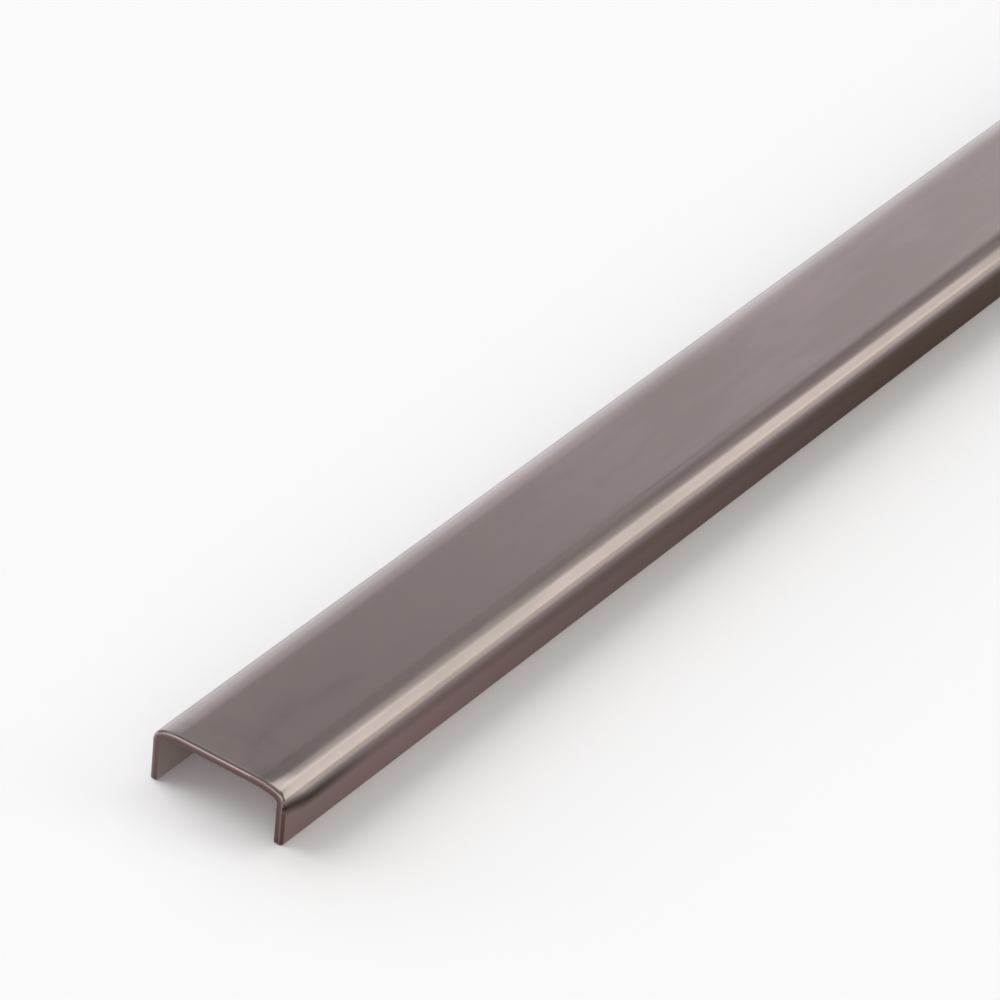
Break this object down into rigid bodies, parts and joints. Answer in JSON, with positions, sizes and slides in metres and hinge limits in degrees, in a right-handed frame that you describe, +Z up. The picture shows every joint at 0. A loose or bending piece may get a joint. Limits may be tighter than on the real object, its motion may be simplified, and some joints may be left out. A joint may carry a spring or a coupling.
{
  "type": "channel section",
  "caption": "Long channel pressed from thin steel sheet, with short legs and rounded bends, that slips over the edge of a board.",
  "frame": {"origin": "on the floor, halfway along the stock and midway between the two legs", "axes": "+X along the stock, +Y across it, +Z up from the toes of the legs to the web"},
  "size_m": [1, 0.018, 0.0073],
  "materials": {
    "bright_steel": "bright cold-rolled sheet, satin, with faint lines along the stock"
  },
  "bodies": {
    "root": {"channel_section": "bright_steel"}
  },
  "joints": []
}
